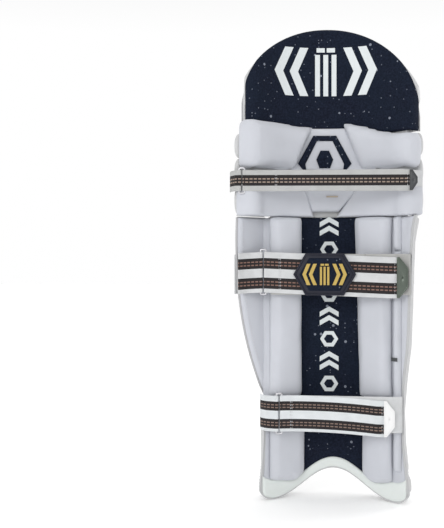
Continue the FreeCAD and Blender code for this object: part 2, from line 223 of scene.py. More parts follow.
def inner_edge(r):
    """The inner edge as a side of a pad that stands on the shin, at a radius."""
    return lambda v: inner_edge_angle(mix(0.02, SHIN_TOP, v), r, 0.0030)


# ---- materials ---------------------------------------------------------------------------------
class Graph:
    """A node tree, with a short name for each kind of node that the looks are made of."""

    def __init__(self, tree):
        self.tree = tree
        self.shader = tree.nodes.get("Principled BSDF")

    def node(self, kind, inputs=None, **settings):
        made = self.tree.nodes.new("ShaderNode" + kind)
        for key, item in settings.items():
            setattr(made, key, item)
        for key, item in (inputs or {}).items():
            if isinstance(item, bpy.types.NodeSocket):
                self.tree.links.new(item, made.inputs[key])
            else:
                made.inputs[key].default_value = item
        return made

    def place(self, kind="Object"):
        return self.node("TexCoord").outputs[kind]

    def maths(self, operation, a, b=0.0):
        return self.node("Math", {0: a, 1: b}, operation=operation).outputs[0]

    def times(self, a, b):
        return self.maths("MULTIPLY", a, b)

    def add(self, a, b):
        return self.maths("ADD", a, b)

    def mixed(self, share, a, b):
        return self.node("Mix", {0: share, 6: a, 7: b}, data_type="RGBA").outputs[2]

    def mottle(self, scale, detail=3.0):
        where = self.place()
        return self.node("TexNoise", {"Vector": where, "Scale": scale, "Detail": detail}).outputs[0]

    def ramp(self, share, low=0.0, high=1.0, first=0.0, last=1.0):
        return self.node("MapRange", {0: share, 1: low, 2: high, 3: first, 4: last}).outputs[0]

    def wave(self, where, scale, distortion, direction):
        inputs = {"Vector": where, "Scale": scale, "Distortion": distortion}
        return self.node("TexWave", inputs, bands_direction=direction).outputs[1]

    def base(self):
        return tuple(self.shader.inputs["Base Color"].default_value)

    def drive(self, socket, source):
        self.tree.links.new(source, self.shader.inputs[socket])

    def bump(self, height, strength, distance):
        inputs = {"Height": height, "Strength": strength, "Distance": distance}
        self.drive("Normal", self.node("Bump", inputs).outputs[0])


def material(name, colour, roughness, build=None, **sockets):
    made = bpy.data.materials.new(name)
    made.use_nodes = True
    graph = Graph(made.node_tree)
    graph.shader.inputs["Base Color"].default_value = (*colour, 1)
    graph.shader.inputs["Roughness"].default_value = roughness
    for key, item in sockets.items():
        graph.shader.inputs[key.replace("_", " ")].default_value = item
    if build:
        build(graph)
    return made


def shaded(colour, red, green, blue):
    return (colour[0] * red, colour[1] * green, colour[2] * blue, 1)


def leather(g):
    """White coated leather: pebble grain, soft creases and a faint handled tone."""
    base, where = g.base(), g.place()
    worn = g.mixed(g.ramp(g.mottle(14.0), 0.35, 0.7), base, shaded(base, 0.93, 0.93, 0.93))
    scuff = g.ramp(g.mottle(90.0, 5.0), 0.60, 0.78)
    g.drive("Base Color", g.mixed(g.times(scuff, 0.18), worn, shaded(base, 0.8, 0.79, 0.76)))
    grain = g.node("TexVoronoi", {"Vector": where, "Scale": 720.0}).outputs["Distance"]
    crease = g.mottle(240.0, 4.0)
    g.bump(g.add(g.times(grain, 0.55), crease), 0.35, 0.0004)
    g.drive("Roughness", g.ramp(crease, 0.3, 0.7, 0.38, 0.52))


def knit(g):
    """Soft spacer knit on the cushions: fine diagonal loops over a slightly uneven tone."""
    base, where = g.base(), g.place()
    tone = g.ramp(g.mottle(22.0), 0.35, 0.68)
    shade = g.mixed(tone, base, shaded(base, 0.94, 0.94, 0.94))
    turned = g.node("Mapping", {"Vector": where, "Rotation": (0, radians(38), 0)}).outputs[0]
    loops = g.times(g.wave(turned, 210.0, 1.2, "X"), g.wave(turned, 210.0, 1.2, "Z"))
    g.drive("Base Color", g.mixed(g.times(loops, 0.16), shade, shaded(base, 0.72, 0.74, 0.8)))
    g.bump(g.add(loops, g.mottle(160.0)), 0.4, 0.0003)


def heather(g):
    """Brushed navy lining with pale flecks of lint."""
    where = g.place()
    tone = g.ramp(g.mottle(420.0, 2.0), 0.35, 0.68)
    patch = g.ramp(g.mottle(18.0, 3.0), 0.35, 0.7)
    cloth = g.mixed(tone, (0.005, 0.007, 0.016, 1), (0.012, 0.017, 0.034, 1))
    cloth = g.mixed(g.times(patch, 0.5), cloth, (0.007, 0.014, 0.027, 1))
    for scale, limit, strength in ((230.0, 0.88, 0.30), (110.0, 0.92, 0.50)):
        cells = g.node("TexVoronoi", {"Vector": where, "Scale": scale})
        split = g.node("SeparateColor", {0: cells.outputs["Color"]}).outputs[0]
        chosen = g.maths("GREATER_THAN", split, limit)
        dot = g.maths("LESS_THAN", cells.outputs["Distance"], 0.22)
        cloth = g.mixed(g.times(g.times(chosen, dot), strength), cloth, (0.42, 0.46, 0.55, 1))
    g.drive("Base Color", cloth)
    g.bump(g.add(g.wave(where, 260.0, 2.0, "X"), g.mottle(500.0)), 0.5, 0.0004)


def webbing_cloth(bands, dash_colour, white=(0.66, 0.67, 0.68)):
    """Woven strap: pale edges, and dark bands that each carry two rows of dashes."""
    def build(g):
        uv = g.node("SeparateXYZ", {0: g.place("UV")})
        along, across = uv.outputs[0], uv.outputs[1]
        tone = g.ramp(g.mottle(60.0), 0.35, 0.7)
        cloth = g.mixed(tone, (*white, 1), shaded(white, 0.9, 0.9, 0.9))
        dash = g.maths("LESS_THAN", g.maths("FRACT", g.times(along, 1.6)), 0.70)
        for low, high in bands:
            inside = g.times(g.maths("GREATER_THAN", across, low), g.maths("LESS_THAN", across, high))
            cloth = g.mixed(inside, cloth, (0.013, 0.010, 0.011, 1))
            for row in (0.34, 0.64):
                off = g.maths("ABSOLUTE", g.maths("SUBTRACT", across, mix(low, high, row)))
                near = g.maths("LESS_THAN", off, (high - low) * 0.055)
                cloth = g.mixed(g.times(near, dash), cloth, dash_colour)
        weft = g.maths("SINE", g.times(along, 60.0))
        warp = g.maths("SINE", g.times(across, 180.0))
        weave = g.times(weft, warp)
        g.drive("Base Color", g.mixed(g.ramp(weave, 0.3, 3.0), cloth, (0.02, 0.02, 0.02, 1)))
        g.bump(g.add(weft, weave), 0.45, 0.00035)
    return build


def brushed(g):
    fine = g.mottle(900.0, 2.0)
    g.bump(fine, 0.15, 0.0002)
    g.drive("Roughness", g.ramp(fine, first=0.22, last=0.4))


def moulded(g):
    """Moulded plastic with a fine spark-eroded texture and a slightly uneven gloss."""
    g.bump(g.mottle(1400.0, 2.0), 0.2, 0.00015)
    rough = g.shader.inputs["Roughness"].default_value
    g.drive("Roughness", g.ramp(g.mottle(50.0), first=rough * 0.85, last=rough * 1.3))


def cane_grain(g):
    drawn = g.node("Mapping", {"Vector": g.place(), "Scale": (400, 400, 12)}).outputs[0]
    grain = g.node("TexNoise", {"Vector": drawn, "Scale": 1.0}).outputs[0]
    g.drive("Base Color", g.mixed(grain, (0.42, 0.28, 0.14, 1), (0.68, 0.52, 0.32, 1)))


WHITE = material("face_leather", (0.55, 0.555, 0.56), 0.45, leather, Specular_IOR_Level=0.3)
# The hem is a whiter leather, and its colour is raised further as painted light to lift the shade that falls
# on the lobes.
HEM = material("hem_leather", (0.74, 0.78, 0.76), 0.45, leather, Specular_IOR_Level=0.3)
PIPING = material("piping", (0.43, 0.43, 0.44), 0.5, leather)
KNIT = material("cushion_knit", (0.56, 0.575, 0.62), 0.82, knit, Sheen_Weight=0.15)
NAVY = material("navy_lining", (0.015, 0.02, 0.045), 0.9, heather, Specular_IOR_Level=0.15)
PRINT = material("white_print", (0.66, 0.70, 0.71), 0.6, moulded)
THREAD = material("thread", (0.62, 0.62, 0.64), 0.7, moulded)
RING = material("ring_wire", (0.55, 0.55, 0.57), 0.3, brushed, Metallic=0.9)
GOLD = material("gold", (0.50, 0.36, 0.10), 0.35, brushed, Metallic=0.6)
NAVY_RUBBER = material("navy_rubber", (0.009, 0.010, 0.021), 0.42, moulded, Specular_IOR_Level=0.3)
DARK_TAB = material("dark_tab", (0.045, 0.048, 0.052), 0.35, moulded)
# The calf tab is shiny silver plastic: its dark green-grey colour is a painted reflection of its
# surroundings.
CALF_TAB_PAINTED_REFLECTION = material("calf_tab_painted_reflection", (0.10, 0.12, 0.10), 0.2, moulded, Metallic=0.5)
# The ankle tab's white is a painted highlight: the glare on a shiny tab, put in as its colour.
ANKLE_TAB_PAINTED_HIGHLIGHT = material("ankle_tab_painted_highlight", (0.80, 0.80, 0.80), 0.3, moulded)
BEIGE = material("label_tape", (0.45, 0.38, 0.30), 0.8, moulded)
CANE = material("cane", (0.6, 0.45, 0.25), 0.7, cane_grain)
# Each strap's dark bands as shares of its width, then its dashes and its edges. The three edges are one white
# webbing, painted darker on the knee strap as painted shade and paler on the ankle strap as painted light.
WEB_LOOKS = {
    "knee": ([(0.25, 0.76)], (0.36, 0.28, 0.23, 1), (0.50, 0.505, 0.50)),
    "calf": ([(0.10, 0.37), (0.59, 0.85)], (0.25, 0.14, 0.11, 1)),
    "ankle": ([(0.085, 0.35), (0.585, 0.84)], (0.25, 0.17, 0.14, 1), (0.74, 0.77, 0.79)),
}
WEB = {strap: material(f"webbing_{strap}", (0.6, 0.6, 0.6), 0.85, webbing_cloth(*look))
       for strap, look in WEB_LOOKS.items()}
GREY_WEB = material("webbing_grey", (0.40, 0.40, 0.39), 0.8, moulded)
PLAIN_WEB = material("webbing_plain", (0.6, 0.6, 0.6), 0.85, webbing_cloth([], (0, 0, 0, 1)))


# ---- forms -------------------------------------------------------------------------------------
def make(name, form, look, on, uvs=None, flat=False):
    """A piece from (vertices, faces). on is the body that it rides on, a material slot name that is not used,
    and any CAD nodes that it stands for. The body is None where the piece rides on no body."""
    verts, faces = form
    mesh = bpy.data.meshes.new(name)
    mesh.from_pydata([tuple(v) for v in verts], [], faces)
    if uvs:
        layer = mesh.uv_layers.new(name="UVMap")
        for loop in mesh.loops:
            layer.data[loop.index].uv = uvs[loop.vertex_index]
    made = bmesh.new()
    made.from_mesh(mesh)
    bmesh.ops.recalc_face_normals(made, faces=made.faces)
    made.to_mesh(mesh)
    made.free()
    mesh.materials.append(look)
    mesh.polygons.foreach_set("use_smooth", [not flat] * len(mesh.polygons))
    obj = bpy.data.objects.new(name, mesh)
    bpy.context.scene.collection.objects.link(obj)
    body, slot, *nodes = on
    if body:
        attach(obj, body)
    if nodes:
        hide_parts(*nodes)
    return obj


def eased(i, n):
    return (1 - cos(pi * i / n)) / 2


def closed_sheet(nu, nv, front, back):
    """A closed form made of a front and a back that share their rim."""
    verts, top, low, faces = [], {}, {}, []
    for j in range(nv + 1):
        for i in range(nu + 1):
            u, v = eased(i, nu), eased(j, nv)
            top[i, j] = low[i, j] = len(verts)
            verts.append(front(u, v))
            if 0 < i < nu and 0 < j < nv:
                low[i, j] = len(verts)
                verts.append(back(u, v))
    for j in range(nv):
        for i in range(nu):
            faces.append((top[i, j], top[i + 1, j], top[i + 1, j + 1], top[i, j + 1]))
            faces.append((low[i, j], low[i, j + 1], low[i + 1, j + 1], low[i + 1, j]))
    return verts, faces


def loft(rows, closed=False):
    """Rows of points joined into a closed form. Its ends are capped, unless they join up."""
    size = len(rows[0])
    verts = [v for row in rows for v in row]
    faces = []
    for i in range(len(rows) if closed else len(rows) - 1):
        a, b = i * size, (i + 1) % len(rows) * size
        for k in range(size):
            after = (k + 1) % size
            faces.append((a + k, a + after, b + after, b + k))
    if not closed:
        faces.append(tuple(range(size)))
        faces.append(tuple(range(len(verts) - size, len(verts))))
    return verts, faces


def round_spine(r, lean, centre=CENTRE):
    """A plan line of constant radius, measured in degrees. lean is 1 outwards, -1 inwards."""
    def at(angle):
        point = plan(r, angle, 0, centre)
        return point, (point - Vector((*centre, 0))).normalized() * lean
    return at, radians(1) * r


def bent_spine(points, lean):
    """A plan line through some points, measured in metres. lean is 1 to its left, -1 right."""
    path = smooth_path([(*p, 0) for p in points], 0.002)
    gap = (path[1] - path[0]).length

    def at(s):
        k = min(max(s / gap, 0), len(path) - 1.001)
        i = int(k)
        return path[i].lerp(path[i + 1], k - i), left_of(path, i, 2).to_3d() * lean
    return at, 1.0, gap * (len(path) - 1)


def reach(spine, x):
    """How far along a plan line it gets to x, on its way across the leg side."""
    line, length = spine[0], spine[2]
    steps = [length * k / 400 for k in range(401)]
    return min(steps, key=lambda s: abs(line(s)[0].x - x) + (line(s)[0].y < -0.0135) * 0.05)


CREASES_PER_METRE, CREASE_FADE = 26, 0.004


def pad(name, spine, sides, ends, depth, edge, look, on, n=(24, 60), crown=0.0, relief=None,
        crease=0.0, side_edges=None, puffed=None):
    """A crowned, closed pad on a plan line. sides are in the line's own measure and may depend
    on the share of the height, and ends are heights that may depend on x. edge rounds the low
    and high ends, and side_edges the two sides. puffed is what to give puff, for a padded piece."""
    line, unit = spine[0], spine[1]
    first_edge, last_edge = side_edges or (edge, edge)
    low_edge, high_edge = edge if isinstance(edge, tuple) else (edge, edge)

    def spot(u, v):
        left, right = value(sides[0], v), value(sides[1], v)
        s = mix(left, right, u)
        point, normal = line(s)
        low, high = value(ends[0], point.x), value(ends[1], point.x)
        return s, mix(low, high, v), point, normal, abs(right - left) * unit, high - low

    def front(u, v):
        s, z, point, normal, width, height = spot(u, v)
        lift = fillet(u * width, first_edge) * fillet((1 - u) * width, last_edge)
        lift *= fillet(v * height, low_edge) * fillet((1 - v) * height, high_edge)
        lift *= 1 - crown + crown * 4 * u * (1 - u)
        if relief:
            lift = relief(s, z, u, lift)
        lift = lift * value(depth, s)
        if crease:
            where = Vector([c * CREASES_PER_METRE for c in (point.x, point.y, z)])
            lift += crease * noise.noise(where) * min(1.0, lift / CREASE_FADE)
        return point + normal * lift + Vector((0, 0, z))

    def back(u, v):
        z, point = spot(u, v)[1:3]
        return point + Vector((0, 0, z))

    made = make(name, closed_sheet(*n, front, back), look, on)
    if puffed:
        puff(made, *puffed)
    return made


def tube(name, points, radius, look, on, closed=False, sides=8):
    points = [Vector(p) for p in points]
    count, rows, across = len(points), [], None
    for i, p in enumerate(points):
        after = points[(i + 1) % count] if closed or i < count - 1 else p
        before = points[i - 1] if closed or i > 0 else p
        along = (after - before).normalized()
        if across is None:
            across = along.orthogonal().normalized()
        across = (across - along * across.dot(along)).normalized()
        other = along.cross(across)
        turns = [2 * pi * k / sides for k in range(sides)]
        rows.append([p + (across * cos(a) + other * sin(a)) * radius for a in turns])
    return make(name, loft(rows, closed), look, on)


STITCHES = {}


def stitches(body, path, length=0.0030, gap=0.0016, radius=0.00038):
    """Adds a row of thread beads along a smooth path to a body's stitching."""
    verts, faces = STITCHES.setdefault(body, ([], []))
    points, sides, swell = smooth_path(path, 0.0012), 5, 1.2
    travelled, start = 0.0, None
    for a, b in zip(points, points[1:]):
        if start is None:
            start = a
        travelled += (b - a).length
        if travelled < 0:
            start = None
        if travelled < length:
            continue
        along = (b - start).normalized()
        side = along.orthogonal().normalized()
        other = along.cross(side)
        first, middle = len(verts), (start + b) / 2
        verts.extend([start, b])
        for k in range(sides):
            turn = 2 * pi * k / sides
            verts.append(middle + (side * cos(turn) + other * sin(turn)) * radius * swell)
        for k in range(sides):
            p, q = first + 2 + k, first + 2 + (k + 1) % sides
            faces.extend([(first, q, p), (first + 1, p, q)])
        travelled, start = -gap, None


def polygon_plate(name, polygons, place, thickness, look, on, cuts=2):
    """Thin raised shapes from flat outlines. place(x, z, h) puts a point h above the surface."""
    built = bmesh.new()
    for outline in polygons:
        face = built.faces.new([built.verts.new((x, 0.0, z)) for x, z in outline])
        grown = bmesh.ops.extrude_face_region(built, geom=[face])
        for v in grown["geom"]:
            if isinstance(v, bmesh.types.BMVert):
                v.co.y = 1.0
    bmesh.ops.triangulate(built, faces=[f for f in built.faces if len(f.verts) > 4])
    flat_edges = [e for e in built.edges if abs(e.verts[0].co.y - e.verts[1].co.y) < 0.5]
    bmesh.ops.subdivide_edges(built, edges=flat_edges, cuts=cuts, use_grid_fill=True)
    built.verts.index_update()
    verts = [place(v.co.x, v.co.z, v.co.y * thickness) for v in built.verts]
    faces = [tuple(v.index for v in f.verts) for f in built.faces]
    built.free()
    return make(name, (verts, faces), look, on, flat=True)


def ring_plate(name, outer, inner, place, thickness, look, on, per_side=8):
    """A raised frame between two outlines with the same number of corners, edges rounded."""
    profile = ((0.0, -0.3), (0.02, 0.6), (0.12, 1.0), (0.88, 1.0), (0.98, 0.6), (1.0, -0.3))
    rows = []
    for share, height in profile:
        row = []
        corners = [Vector(a).lerp(Vector(b), share) for a, b in zip(outer, inner)]
        for a, b in zip(corners, corners[1:] + corners[:1]):
            for k in range(per_side):
                p = a.lerp(b, k / per_side)
                row.append(place(p.x, p.y, height * thickness))
        rows.append(row)
    return make(name, loft(rows, closed=True), look, on)


def hexagon(x, z, half_w, half_h, flat):
    """Six corners with level flats of a half length, or upright ones where flat is negative."""
    if flat > 0:
        points = [(-half_w, 0), (-flat, half_h), (flat, half_h),
                  (half_w, 0), (flat, -half_h), (-flat, -half_h)]
    else:
        points = [(0, half_h), (half_w, -flat), (half_w, flat),
                  (0, -half_h), (-half_w, flat), (-half_w, -flat)]
    return [(x + px, z + pz) for px, pz in points]


def bar(x0, x1, z0, z1):
    return [(x0, z0), (x1, z0), (x1, z1), (x0, z1)]


def wicket(x, z, size):
    """A generic mark: three stumps with two bails between paired chevrons."""
    shapes = [bar(k * 0.17 - 0.05, k * 0.17 + 0.05, -0.5, 0.36) for k in (-1, 0, 1)]
    for k in (-1, 1):
        shapes.append(bar(k * 0.105 - 0.085, k * 0.105 + 0.085, 0.41, 0.5))
        for far in (0.36, 0.66):
            arm = [(0, 0.5), (0.17, 0.5), (0.38, 0), (0.21, 0)]
            shapes.append([(k * (far + px), pz) for px, pz in arm])
            shapes.append([(k * (far + px), -pz) for px, pz in arm])
    return [[(x + px * size, z + pz * size) for px, pz in s] for s in shapes]


PUFF_FRAMES, PUFF_PRESSURE = 20, 4


def apply(obj, modifier):
    solved = obj.evaluated_get(bpy.context.evaluated_depsgraph_get())
    mesh = bpy.data.meshes.new_from_object(solved)
    obj.modifiers.remove(modifier)
    obj.data = mesh


def puff(obj, cap, voxel=0.005):
    """Swells a closed pad with the cloth solver, limited to cap, then smooths it."""
    scene = bpy.context.scene
    rest = obj.modifiers.new("remesh", "REMESH")
    rest.mode, rest.voxel_size = "VOXEL", voxel
    apply(obj, rest)
    before = [v.co.copy() for v in obj.data.vertices]
    cloth = obj.modifiers.new("cloth", "CLOTH")
    cloth.settings.use_pressure = True
    cloth.settings.uniform_pressure_force = PUFF_PRESSURE
    cloth.settings.effector_weights.gravity = 0
    cloth.settings.quality = 4
    for number in range(1, PUFF_FRAMES + 1):
        scene.frame_set(number)
    solved = obj.evaluated_get(bpy.context.evaluated_depsgraph_get())
    after = [v.co.copy() for v in solved.data.vertices]
    obj.modifiers.remove(cloth)
    scene.frame_set(1)
    for v, a, b in zip(obj.data.vertices, before, after):
        move = b - a
        v.co = a + (move if move.length < cap else move.normalized() * cap)
    finer = obj.modifiers.new("finer", "SUBSURF")
    finer.levels = 1
    apply(obj, finer)
    obj.data.polygons.foreach_set("use_smooth", [True] * len(obj.data.polygons))


# ---- striking face -----------------------------------------------------------------------------
VALLEY, BULB_VALLEY = 0.22, 0.62


def channel(u, floor):
    """A soft cane channel's height across its width: a round crest between two open valleys."""
    return floor + (1 - floor) * sin(pi * min(max(u, 0.0), 1.0))


def shin_rib(i):
    """One rib of the shin. The outermost two follow the pad's edges and keep their height
    there, and the middle three stop above the instep."""
    start = SHIN_FIRST + i * SHIN_PITCH
    middle = 2 <= i <= 4
    foot, fold = (0.1245, 0.148) if middle else (above_sole(0.0030), 0.040)
    left, right = start - OVERLAP, start + SHIN_PITCH + OVERLAP
    if i == 0:
        left = lambda v: start - 2.2 * (1 - step(v, 0.22, 0.34))
    if i == 6:
        right = inner_edge(RIB_R)

    def relief(s, z, u, lift):
        if i == 6 and u > 0.5:
            u = mix(u, 0.5, 0.5)
        if i == 0 and u < 0.5:
            u = mix(u, 0.5, 0.5 * (1 - step(z, 0.15, 0.18)))
        bulb = 1 - step(z, fold - 0.006, fold + 0.004)
        lift *= channel(u, mix(VALLEY, BULB_VALLEY, bulb))
        lift *= 1 - 0.30 * bump(z, fold, 0.006) + 0.05 * bump(z, fold - 0.014, 0.008)
        return lift * (1 - 0.10 * bump(z, 0.378, 0.010) + 0.06 * bump(z, 0.400, 0.010))

    pad(f"face_rib_{i + 1}", round_spine(RIB_R, 1), (left, right), (foot, SHIN_RIB_TOP), 0.0158, 0.0060,
        WHITE, ("shin", "face_leather", f"shin_rib_{i + 1}"), n=(26, 96), relief=relief, crease=0.0007,
        side_edges=(0.0007, 0.0007))


def thigh_rib(i):
    """One rib of the thigh guard, which ends under the rounded top."""
    start, last = TOP_FIRST + i * TOP_PITCH, i == 6
    right = TOP_ENDS[1] - 0.05 if last else start + TOP_PITCH + OVERLAP

    def relief(s, z, u, lift):
        top = dome(RIB_R * sin(radians(s)))
        near_top = step(z, top - 0.060, top - 0.018)
        bulb = 1 - step(z, 0.568, 0.580)
        if last and u > 0.5:
            u = mix(0.5, u, 0.5)
        lift *= channel(u, mix(mix(VALLEY, 0.55, bulb), 0.88, near_top))
        lift *= 1 - 0.26 * bump(z, 0.575, 0.006) + 0.05 * bump(z, 0.557, 0.011)
        return lift * mix(0.74, 1.0, fillet(top - 0.001 - z, 0.018))

    pad(f"thigh_rib_{i + 1}", round_spine(RIB_R, 1), (start - OVERLAP, right), (TOP_FOOT, rib_dome),
        0.0150, 0.0030, WHITE, ("thigh_guard", "face_leather", f"top_rib_{i + 1}"), n=(26, 64),
        relief=relief, crease=0.0006, side_edges=(0.0007, 0.0007))


def thigh_side():
    def relief(s, z, u, lift):
        top = dome(RIB_R * sin(radians(s)))
        return lift * mix(0.85, 1.0, fillet(top - 0.001 - z, 0.018)) * mix(0.9, 1.0, sin(pi * u))

    pad("thigh_side_panel", round_spine(RIB_R, 1), (TOP_ENDS[0] + 0.05, TOP_FIRST + OVERLAP),
        (TOP_FOOT, rib_dome), 0.0118, 0.0030, WHITE, ("thigh_guard", "face_leather", "top_side_panel"),
        n=(24, 44), relief=relief, crease=0.001, side_edges=(0.003, 0.010))


def instep():
    pad("instep_sheet", round_spine(RIB_R, 1), (-15.6, 15.6), (above_sole(0.0055), 0.1240), 0.0046, 0.006,
        WHITE, ("shin", "face_leather", "instep_panel"), n=(24, 24), crown=0.1, crease=0.0005)
    middle = 0.080

    def raised(lift):
        return lambda x, z, h: on_wall(INSTEP_FACE_R + (h + lift), x, z)

    outer = hexagon(0.0, middle, 0.031, 0.024, -0.015)
    centre = hexagon(0.0, middle, 0.0004, 0.0003, -0.0002)
    rim = hexagon(0.0, middle, 0.029, 0.0224, -0.014)
    ring_plate("instep_badge_plate", outer, centre, raised(0), 0.0016, NAVY_RUBBER,
               ("shin", "badge", "instep_badge"))
    ring_plate("instep_badge_rim", outer, rim, raised(0), 0.0024, NAVY_RUBBER, ("shin", "badge"))
    polygon_plate("instep_badge_mark", wicket(0.0, middle, 0.022), raised(0.0014), 0.0012, GOLD,
                  ("shin", "badge"))


# ---- edge walls and piping ---------------------------------------------------------------------
def edge_wall(name, outline, on, radii, cords, stitch_rows, ends=lambda r: (-60.0, 60.0)):
    """The stitched wall that closes a section's edge, with piping cords at its borders. The
    outline runs so that outwards is to its left, and ends gives the end angles at a radius."""
    points = smooth_path(outline, 0.004)
    outs = [left_of(points, i) for i in range(len(points))]
    sections, bulge, inset, wall = 10, 0.0018, 0.0012, 0.0052
    cord_r, cord_inset = 0.0012, 0.0013
    rows = []
    for p, out in zip(points, outs):
        row = []
        for k in range(sections + 1):
            share = k / sections
            row.append((mix(*radii, share), p - out * (inset - bulge * sin(pi * share))))
        for k in range(sections, -1, -1):
            row.append((mix(radii[0] + 0.001, radii[1] - 0.001, k / sections), p - out * wall))
        rows.append([on_wall(r, q.x, q.y, ends(r)) for r, q in row])
    body = on[0]
    make(name, loft(rows), WHITE, on)
    for side in cords:
        r = radii[1] - 0.0004 if side == "face" else radii[0] + 0.0002
        line = [on_wall(r, *(p - out * cord_inset), ends(r)) for p, out in zip(points, outs)]
        tube(f"{name}_piping_{side}", line, cord_r, PIPING if side == "face" else WHITE, (body, "piping"))
    for share in stitch_rows:
        r = mix(*radii, share)
        line = []
        sunk = 0.0009 - bulge * sin(pi * share)
        for i in range(0, len(points), 3):
            k = min(i, len(points) - 2)
            line.append(on_wall(r, *(points[i] - left_of(points[k:k + 2], 0) * sunk), ends(r)))
        stitches(body, line)


def shin_edge():
    lobes = [(x, sole(x)) for x in (0.1085, 0.1065, 0.1005, 0.094, 0.084, 0.068, 0.050, 0.034, 0.017, 0)]
    mirrored = [(-x, z) for x, z in lobes[::-1][1:]]
    edge_wall("shin_wall", INNER_EDGE + lobes + mirrored + OUTER_EDGE,
              ("shin", "face_leather", "shin_binding"), SHIN_WALL_R, ("face", "leg"), (0.22, 0.78))
    # The smooth hem on the leg side, which follows the arch and spreads over the two lobes.
    pad("arch_hem", round_spine(0.1478, -1), (-44.6, 44.6), (above_sole(0.0012), hem_top), 0.0026, 0.004,
        HEM, ("shin", "face_leather"), n=(90, 14))


def top_edge():
    arc = [dome_point(pi * (1 - k / 24)) for k in range(25)]
    foot = 0.5396

    def ends(r):
        tucked = 1 - step(r, 0.152, 0.160)
        return TOP_ENDS[0] + 1.8 * tucked, TOP_ENDS[1] - 1.4 * tucked

    edge_wall("thigh_wall", [(arc[0][0], foot)] + arc + [(arc[-1][0], foot)],
              ("thigh_guard", "face_leather", "top_binding"), TOP_WALL_R, ("face",), (0.78,), ends)


# ---- linings -----------------------------------------------------------------------------------
def linings():
    inward = round_spine(BACKING_R, -1)
    foot = above_sole(0.0055)
    pad("shin_lining_centre", inward, (-24.0, 17.5), (lambda x: hem_top(x) - 0.0015, SHIN_RIB_TOP), 0.0026,
        0.004, NAVY, ("shin", "navy_fabric", "shin_lining", "shin_backing"), n=(26, 70), crease=0.0003)
    for name, sides in (("outer", (-36.6, -23.9)), ("inner", (17.4, inner_edge(BACKING_R)))):
        pad(f"shin_lining_{name}", inward, sides, (foot, SHIN_TOP - 0.001), 0.0028, 0.004, KNIT,
            ("shin", "cushion_mesh"), n=(20, 70), crease=0.0004)
    pad("shin_lining_heel", inward, (-43.5, -36.4), (foot, 0.1485), 0.0028, 0.004, KNIT,
        ("shin", "cushion_mesh"), n=(10, 40))
    # The thigh lining turns over both ends of the guard.
    first = [(0.1640, -51.3), (0.1605, -51.35), (0.1560, -51.2), (0.1515, -50.6), (0.1490, -48.6),
             (0.1484, -45.0)]
    across = [(0.1484, angle) for angle in range(-37, 36, 8)]
    last = [(0.1484, 40.0), (0.1490, 43.6), (0.1515, 45.6), (0.1570, 46.3), (0.1630, 46.4), (0.1680, 46.3)]
    spine = bent_spine(plans(first + across + last), -1)
    pad("thigh_lining", spine, (0.0, spine[2]), (0.5397, lambda x: dome(x) - 0.0019), 0.0032, 0.005, NAVY,
        ("thigh_guard", "navy_fabric", "top_lining", "top_backing"), n=(80, 44), crease=0.0005)


def lining_marks():
    polygon_plate("thigh_mark", wicket(-0.0115, 0.634, 0.072),
                  lambda x, z, h: on_wall(THIGH_LINING_R - h, x, z), 0.0007, PRINT,
                  ("thigh_guard", "piping"), cuts=4)
    middle, shapes = -0.0065, []
    for k in range(8):
        z = 0.168 + 0.0335 * k
        if k % 2:
            for lift in (0.0, 0.013):
                for side in (-1, 1):
                    arm = [(0, 0.005), (0.014, -0.003), (0.014, -0.0105), (0, -0.0025)]
                    shapes.append([(middle + side * px, z + lift - 0.003 + pz) for px, pz in arm])
        else:
            outer = hexagon(middle, z, 0.0135, 0.0115, 0.0065)
            inner = hexagon(middle, z, 0.0078, 0.0062, 0.0036)
            shapes.extend(zip(outer, outer[1:] + outer[:1], inner[1:] + inner[:1], inner))
    polygon_plate("shin_marks", shapes, lambda x, z, h: on_wall(SHIN_LINING_R - h, x, z), 0.0006, PRINT,
                  ("shin", "piping"), cuts=1)


# ---- leg-side cushions -------------------------------------------------------------------------
def bolsters():
    inward = round_spine(LINING_R, -1)
    for name, sides, foot_sides in (("outer", (-41.0, -18.6), (-41.0, -16.8)),
                                    ("inner", (slant(15.0, 11.7), 36.4), (16.4, 36.4))):
        pad(f"shin_bolster_{name}", inward, sides, (0.1505, 0.4164), 0.0185, (0.0070, 0.0030), KNIT,
            ("shin", "cushion_mesh", f"bolster_{name}"), n=(24, 70), crown=0.22, crease=0.0013,
            side_edges=(0.0130, 0.0130), puffed=(0.0014, 0.004))
        pad(f"ankle_pad_{name}", inward, foot_sides, (lambda x: hem_top(x) - 0.0020, 0.149), 0.0135,
            0.0075, KNIT, ("shin", "cushion_mesh"), n=(24, 44), crown=0.2, crease=0.0011,
            side_edges=(0.0115, 0.0115), puffed=(0.0012, 0.004))
    for k, ends in enumerate(((0.046, 0.3015), (0.3018, 0.366), (0.3663, 0.4164))):
        nodes = () if k else ("side_guard",)
        pad(f"inner_side_pad_{k + 1}", inward, (36.8, 41.6), ends, 0.0085, 0.006, KNIT,
            ("shin", "cushion_mesh", *nodes), n=(12, 40), crown=0.1, crease=0.0006)


def side_marker():
    """The little dark keeper sewn across the strip beside the inner cushion."""
    webbing("side_marker", plans((0.1380, a) for a in (36.9, 39.0, 41.1)), 0.2090, 0.0055, 0.0008,
            DARK_TAB, ("shin", "tag"))


def cushion_spine(outer):
    """From the middle of the knee along the rolls and round their end."""
    angle, sign = (ROLL_ANGLES[0], -1) if outer else (ROLL_ANGLES[1], 1)
    inner = [(CUSHION_R, sign * a) for a in range(-6, int(abs(angle)) - 2, 6)]
    turn = ((0.0004, 0.2), (0.0035, 2.1), (0.012, 2.7), (0.0205, 2.7))
    corner = [(CUSHION_R + out, angle + sign * past) for out, past in turn]
    return bent_spine(plans(inner + corner), -sign)


